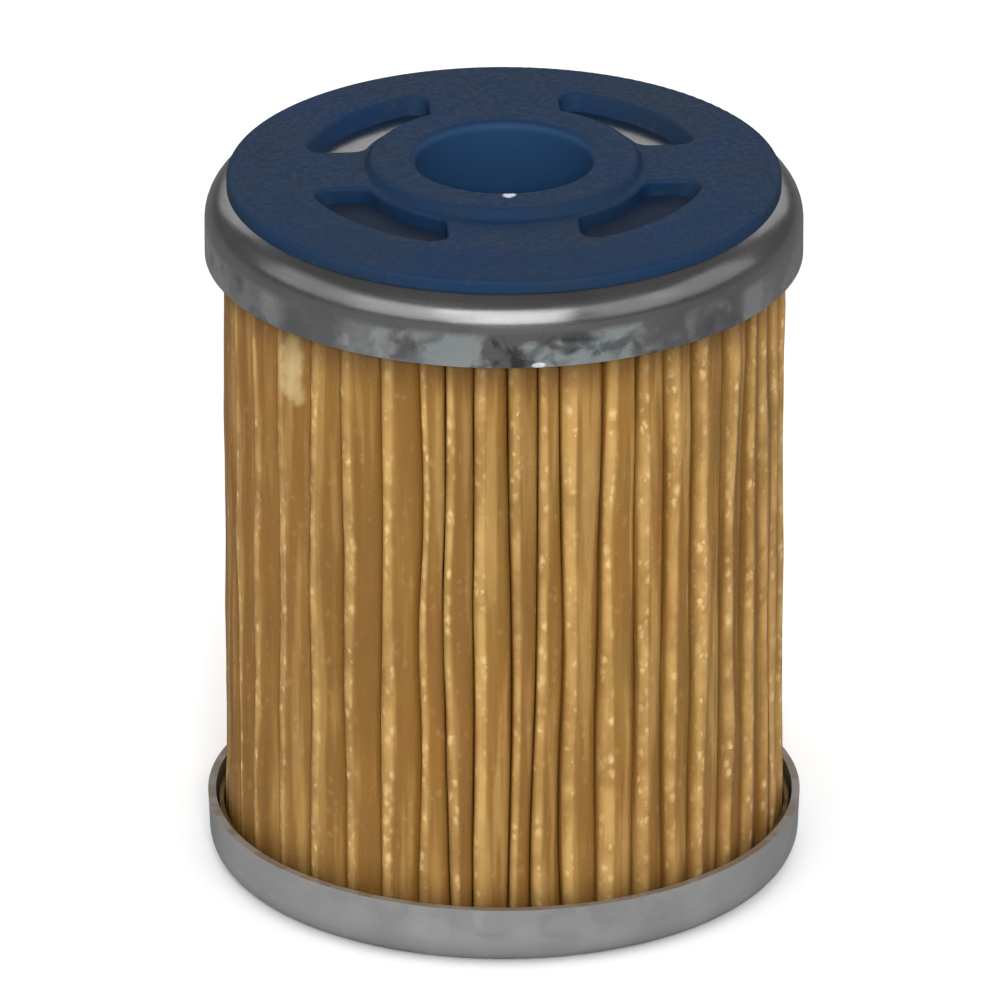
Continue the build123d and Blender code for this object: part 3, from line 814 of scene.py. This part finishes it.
# a ring like its CAD bed, whose free surface is uneven and drawn up at both walls
def adhesiveBed(name, nodeName, material, rise):
    rng = np.random.default_rng(bead["seed"] + (rise > 0))
    low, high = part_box(nodeName)
    outer = high.x
    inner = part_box("centre_tube")[1].x + 0.1 * mm
    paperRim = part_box("filter_paper")[1].x + 0.02 * mm
    floor, lip = (low.z, high.z) if rise > 0 else (high.z, low.z)
    bedTop = floor + rise * bead["bed"]
    turn = np.linspace(0, 2 * math.pi, bead["around"], endpoint=False)
    ripple = sum(
        rng.normal(0, 1) * np.sin(order * turn + rng.uniform(0, 2 * math.pi)) / math.sqrt(order)
        for order in (2, 3, 5, 9, 14, 23, 37)
    )
    ripple = np.clip(ripple / 2.2, -1, 1)
    surface = lip - rise * (bead["creep"] * 0.5 + bead["ripple"] * (1 + ripple) * 0.5)
    corner = bead["corner"]
    profile = [(inner, floor), (outer - corner, floor)]
    for step in range(1, 6):
        bend = step * math.pi / 10
        out, up = corner * math.sin(bend), corner * (1 - math.cos(bend))
        profile.append((outer - corner + out, floor + rise * up))
    rows = [(np.full_like(turn, r), np.full_like(turn, z)) for r, z in profile]
    rows.append((np.full_like(turn, outer), surface + rise * bead["creep"] * 0.5 * (0.6 + 0.4 * ripple)))
    for share in (0.2, 0.5, 0.8):
        dip = bead["creep"] * 0.5 * (1 - (2 * share - 1) ** 2)
        rows.append((np.full_like(turn, outer + (paperRim - outer) * share), surface - rise * dip))
    rows.append((np.full_like(turn, paperRim), surface + rise * bead["creep"] * 0.3 * (0.5 - 0.5 * ripple)))
    rows.append((np.full_like(turn, paperRim), np.full_like(turn, bedTop)))
    rows.append((np.full_like(turn, inner), np.full_like(turn, bedTop)))
    points = np.concatenate([np.stack([r * np.cos(turn), r * np.sin(turn), z], 1) for r, z in rows])
    faces = gridFaces(len(rows), len(turn), closed=True, flip=rise > 0)
    last = (len(rows) - 1) * len(turn)
    for column in range(len(turn)):
        nextColumn = (column + 1) % len(turn)
        quad = (last + column, last + nextColumn, nextColumn, column)
        faces.append(quad[::-1] if rise > 0 else quad)
    bed = makeMesh(name, points, faces, material)
    bed.data.set_sharp_from_angle(angle=math.radians(40))
    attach(bed, "cartridge")
    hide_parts(nodeName)
    return bed


adhesive = adhesiveMaterial()
adhesiveBed("closedEndAdhesive", "bottom_adhesive", adhesive, 1)
adhesiveBed("openEndAdhesive", "top_adhesive", adhesive, -1)
print("adhesive beds done")


# valve spring: wire coil with closed ends
spring = {"wire": 0.25 * mm, "turns": 5.0, "closedTurns": 0.9, "aroundWire": 12, "perTurn": 40}


def valveSpring(material):
    low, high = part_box("valve_spring")
    radius = high.x - spring["wire"]
    bottom = low.z + spring["wire"]
    top = high.z - spring["wire"]
    total = int(spring["turns"] * spring["perTurn"])
    closed = spring["closedTurns"]
    active = spring["turns"] - 2 * closed
    deadRise = 2 * spring["wire"] * closed * 1.02
    rows = []
    for step in range(total + 1):
        turn = step / spring["perTurn"]
        if turn < closed:
            z = bottom + deadRise * turn / closed
        elif turn > closed + active:
            z = top - deadRise * (spring["turns"] - turn) / closed
        else:
            share = (turn - closed) / active
            z = bottom + deadRise + share * (top - bottom - 2 * deadRise)
        angle = turn * 2 * math.pi
        for side in range(spring["aroundWire"]):
            tilt = side * 2 * math.pi / spring["aroundWire"]
            reach = radius + spring["wire"] * math.cos(tilt)
            rise = spring["wire"] * math.sin(tilt)
            rows.append((reach * math.cos(angle), reach * math.sin(angle), z + rise))
    faces = gridFaces(total + 1, spring["aroundWire"], closed=True, flip=True)
    faces.append(tuple(range(spring["aroundWire"])))
    last = total * spring["aroundWire"]
    faces.append(tuple(range(last + spring["aroundWire"] - 1, last - 1, -1)))
    return makeMesh("coilSpring", rows, faces, material)


coil = valveSpring(wireSteel)
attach(coil, "cartridge")
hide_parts("valve_spring")
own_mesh(coil)


# floor, light and camera
studio = {
    "floor": (0.93, 0.93, 0.93, 1),
    "floorMirrored": (0.16, 0.16, 0.165, 1),
    "air": 0.84,
    "airMirrored": 0.13,
    "elevation": 23.8,
    "distance": 1.25,
    "width": 63.84 * mm,      # how much of the middle plane the view takes in
    "aimHeight": 23.0 * mm,
    "aimRight": -0.252 * mm,
    "aimUp": 1.02 * mm,
}


def stageMaterial():
    material = bpy.data.materials.new("floorPaint")
    material.use_nodes = True
    tree = material.node_tree
    tree.nodes.clear()
    pale = addNode(tree, "ShaderNodeBsdfDiffuse", {"Color": studio["floor"]}).outputs[0]
    dim = addNode(tree, "ShaderNodeBsdfDiffuse", {"Color": studio["floorMirrored"]}).outputs[0]
    glossy = addNode(tree, "ShaderNodeLightPath").outputs["Is Glossy Ray"]
    mixed = addNode(tree, "ShaderNodeMixShader", {0: glossy, 1: pale, 2: dim}).outputs[0]
    addNode(tree, "ShaderNodeOutputMaterial", {"Surface": mixed})
    return material


floorSize = 3.0
floor = makeMesh(
    "studioFloor",
    [(x * floorSize, y * floorSize, 0) for x, y in ((-1, -1), (1, -1), (1, 1), (-1, 1))],
    [(0, 1, 2, 3)],
    stageMaterial(),
)
floor.location.z = cadBox[0][2] - 0.02 * mm


# a softbox that faces the filter; azimuth 0 is in front, positive to the right
def areaLight(name, azimuth, elevation, width, height, glow, mirrored=True, distance=1.0):
    lamp = bpy.data.lights.new(name, "AREA")
    lamp.shape = "RECTANGLE"
    lamp.size = width
    lamp.size_y = height
    lamp.energy = glow * math.pi * width * height
    light = bpy.data.objects.new(name, lamp)
    side = math.radians(azimuth)
    up = math.radians(elevation)
    away = Vector((math.sin(side) * math.cos(up), -math.cos(side) * math.cos(up), math.sin(up)))
    light.location = Vector((0, 0, studio["aimHeight"])) + away * distance
    light.rotation_euler = (-away).to_track_quat("-Z", "Y").to_euler()
    light.visible_glossy = mirrored
    bpy.context.scene.collection.objects.link(light)
    return light


areaLight("frontSoftbox", 1, 29, 0.78, 0.70, 1.55)
areaLight("leftSoftbox", -42, 28, 0.65, 0.65, 0.68)
areaLight("rightSoftbox", 52, 28, 0.60, 0.65, 0.40)
areaLight("leftFill", -84, 28, 0.70, 0.60, 0.35)
areaLight("rightFill", 90, 28, 0.70, 0.60, 0.35)
areaLight("backCard", 180, 27, 1.4, 0.5, 0.5)
areaLight("overheadSoftbox", 0, 80, 0.9, 0.9, 0.5, mirrored=False)
areaLight("flash", 3, 26, 0.15, 0.15, 62.0, mirrored=False)

world = bpy.data.worlds.new("studioAir")
bpy.context.scene.world = world
world.use_nodes = True
airTree = world.node_tree
airTree.nodes.clear()
glossyRay = addNode(airTree, "ShaderNodeLightPath").outputs["Is Glossy Ray"]
airStrength = remap(airTree, glossyRay, 0.0, 1.0, studio["air"], studio["airMirrored"])
air = addNode(airTree, "ShaderNodeBackground", {"Color": (1, 1, 1, 1), "Strength": airStrength})
addNode(airTree, "ShaderNodeOutputWorld", {"Surface": air.outputs[0]})

cameraData = bpy.data.cameras.new("mainCamera")
camera = bpy.data.objects.new("mainCamera", cameraData)
bpy.context.scene.collection.objects.link(camera)
tilt = math.radians(studio["elevation"])
away = Vector((0, -math.cos(tilt), math.sin(tilt)))
upward = Vector((0, math.sin(tilt), math.cos(tilt)))
aim = Vector((studio["aimRight"], 0, studio["aimHeight"])) + upward * studio["aimUp"]
camera.location = aim + away * studio["distance"]
camera.rotation_euler = (-away).to_track_quat("-Z", "Y").to_euler()
cameraData.sensor_width = 36
cameraData.lens = cameraData.sensor_width * studio["distance"] / studio["width"]
cameraData.clip_start = 0.1
cameraData.clip_end = 20
bpy.context.scene.camera = camera
bpy.context.scene.view_settings.view_transform = "Standard"
print("camera and light set, lens", round(cameraData.lens, 1))
